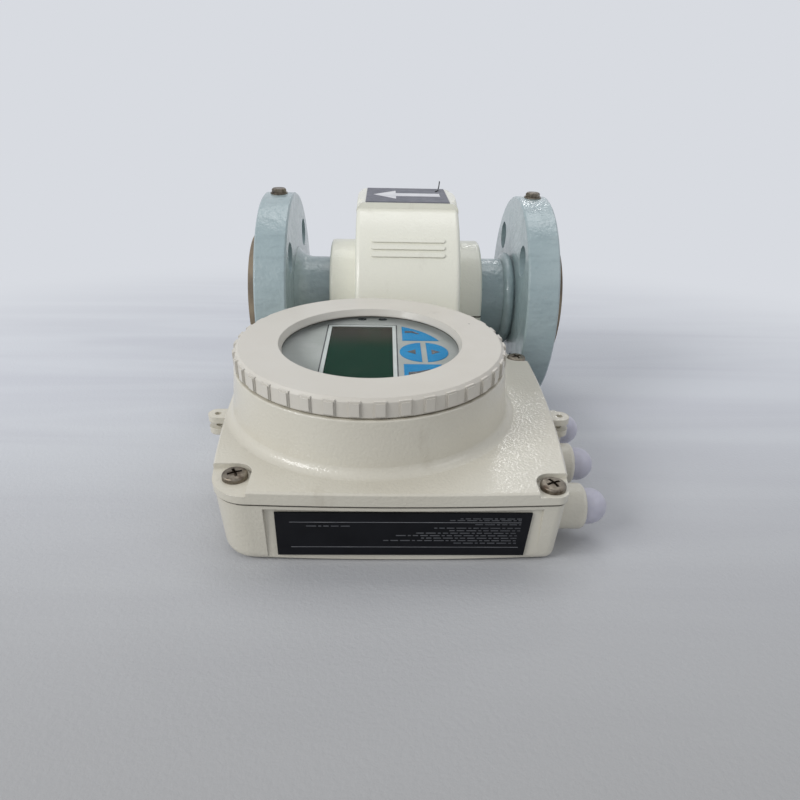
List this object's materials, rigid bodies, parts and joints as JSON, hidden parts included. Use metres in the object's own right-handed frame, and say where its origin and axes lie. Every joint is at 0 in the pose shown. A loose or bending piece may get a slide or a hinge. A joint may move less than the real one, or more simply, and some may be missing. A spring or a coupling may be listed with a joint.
{
  "type": "electromagnetic flow meter",
  "caption": "Flanged electromagnetic flow meter: lined measuring tube in a drum-shaped sensor housing with a box-shaped transmitter head, screwed round display cover and plugged cable entries.",
  "frame": {"origin": "centre of the flow bore, midway between the two flange faces", "axes": "+X along the pipe towards the inlet, +Z out of the display (up as the meter lies on its back), the transmitter head on the -Y side of the pipe"},
  "size_m": [0.208, 0.3063, 0.1434],
  "materials": {
    "pipe_paint": "gloss",
    "liner_rubber": "satin",
    "housing_paint": "gloss",
    "cover_paint": "satin",
    "screw_steel": "satin",
    "neck_metal": "satin",
    "electrode_steel": "satin",
    "iron": "satin",
    "winding": "matte",
    "sleeve_plastic": "matte",
    "seal_rubber": "matte",
    "plug_plastic": "gloss",
    "arrow_foil": "gloss",
    "plate_black": "gloss",
    "window": "gloss",
    "bezel_grey": "gloss",
    "lcd_glass": "gloss",
    "key_blue": "gloss",
    "lamp_dark": "gloss",
    "carrier_plastic": "matte",
    "circuit_board": "matte",
    "terminal_green": "matte"
  },
  "bodies": {
    "sensor": {"flow_tube": "pipe_paint", "flange_inlet": "pipe_paint", "flange_outlet": "pipe_paint", "liner": "liner_rubber", "liner_flare_inlet": "liner_rubber", "liner_flare_outlet": "liner_rubber", "earth_screws": "screw_steel", "earth_washers": "screw_steel", "sensor_shell_front": "housing_paint", "sensor_shell_rear": "housing_paint", "sensor_shell_gasket": "seal_rubber", "sensor_shell_screws": "screw_steel", "field_yoke": "iron", "pole_upper": "iron", "pole_lower": "iron", "coil_upper": "winding", "coil_lower": "winding", "electrode_front": "electrode_steel", "electrode_rear": "electrode_steel", "electrode_sleeves": "sleeve_plastic", "flow_arrow_plate": "arrow_foil", "neck": "neck_metal", "neck_seal": "seal_rubber", "neck_clip": "screw_steel"},
    "head": {"housing_base": "housing_paint", "housing_gasket": "seal_rubber", "housing_front": "housing_paint", "housing_screws": "screw_steel", "nameplate": "plate_black", "blanking_plug_1": "plug_plastic", "blanking_plug_2": "plug_plastic", "blanking_plug_3": "plug_plastic", "display_carrier": "carrier_plastic", "display_bezel": "bezel_grey", "lcd_panel": "lcd_glass", "touch_keys": "key_blue", "status_lamps": "lamp_dark", "display_board": "circuit_board", "main_board": "circuit_board", "terminal_block": "terminal_green", "power_module": "carrier_plastic"},
    "cover_seal": {"cover_seal": "seal_rubber"},
    "cover": {"cover_ring": "cover_paint", "cover_skirt": "cover_paint", "window_gasket": "seal_rubber", "window_glass": "window", "glass_retainer": "screw_steel"}
  },
  "joints": [
    {"name": "head_turn", "type": "hinge", "parent": "sensor", "child": "head", "pos_m": [0, -0.09, -0.0305], "axis": [0, 1, 0], "range_deg": [-90, 90]},
    {"name": "cover_lift", "type": "slide", "parent": "head", "child": "cover_seal", "axis": [0, 0, 1], "range_m": [0, 0.01]},
    {"name": "cover_turn", "type": "hinge", "parent": "cover_seal", "child": "cover", "pos_m": [-0.021, -0.1508, 0.02], "axis": [0, 0, 1], "range_deg": [0, 1800]}
  ],
  "couplings": [
    {"joint": "cover_lift", "follows": "cover_turn", "m_per_rad": 0.00031831}
  ]
}
